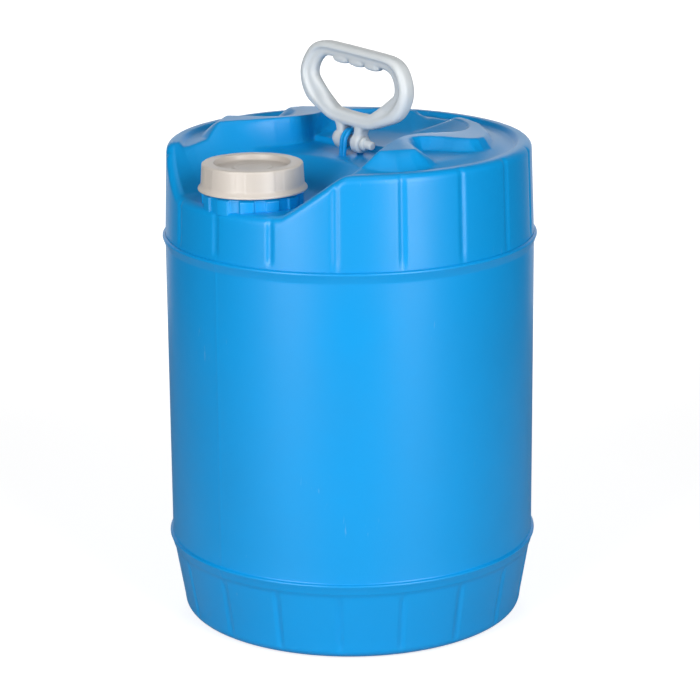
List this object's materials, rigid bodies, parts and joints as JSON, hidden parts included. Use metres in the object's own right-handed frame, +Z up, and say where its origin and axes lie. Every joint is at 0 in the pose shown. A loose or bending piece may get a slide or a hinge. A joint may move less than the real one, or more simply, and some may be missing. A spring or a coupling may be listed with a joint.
{
  "type": "closed-head pail",
  "caption": "Closed-head plastic pail with stacking pads, a recessed swing handle and a screw-capped spout in a well at the front edge.",
  "frame": {"origin": "centre of the base, on the floor", "axes": "+Z up, -Y towards the spout, X along the handle's pin"},
  "size_m": [0.2899, 0.29, 0.449],
  "materials": {
    "body_plastic": "satin moulded polyethylene, azure blue",
    "handle_plastic": "natural, slightly translucent white",
    "pin_plastic": "natural, slightly translucent white",
    "cap_plastic": "natural warm white, satin",
    "seal_foam": "foamed polyethylene"
  },
  "bodies": {
    "pail": {"pail_body": "body_plastic"},
    "handle": {"handle": "handle_plastic", "handle_pin": "pin_plastic"},
    "seal": {"cap_gasket": "seal_foam"},
    "cap": {"screw_cap": "cap_plastic"}
  },
  "joints": [
    {"name": "handle_swing", "type": "hinge", "parent": "pail", "child": "handle", "pos_m": [0, 0.0027, 0.3746], "axis": [0.9969, 0, -0.0785], "range_deg": [-68, 58]},
    {"name": "cap_lift", "type": "slide", "parent": "pail", "child": "seal", "axis": [0, 0, 1], "range_m": [0, 0.0301]},
    {"name": "cap_turn", "type": "hinge", "parent": "seal", "child": "cap", "pos_m": [0, -0.103, 0.36], "axis": [0, 0, 1], "range_deg": [0, 1800]}
  ],
  "couplings": [
    {"joint": "cap_lift", "follows": "cap_turn", "m_per_rad": 0.00095493}
  ]
}
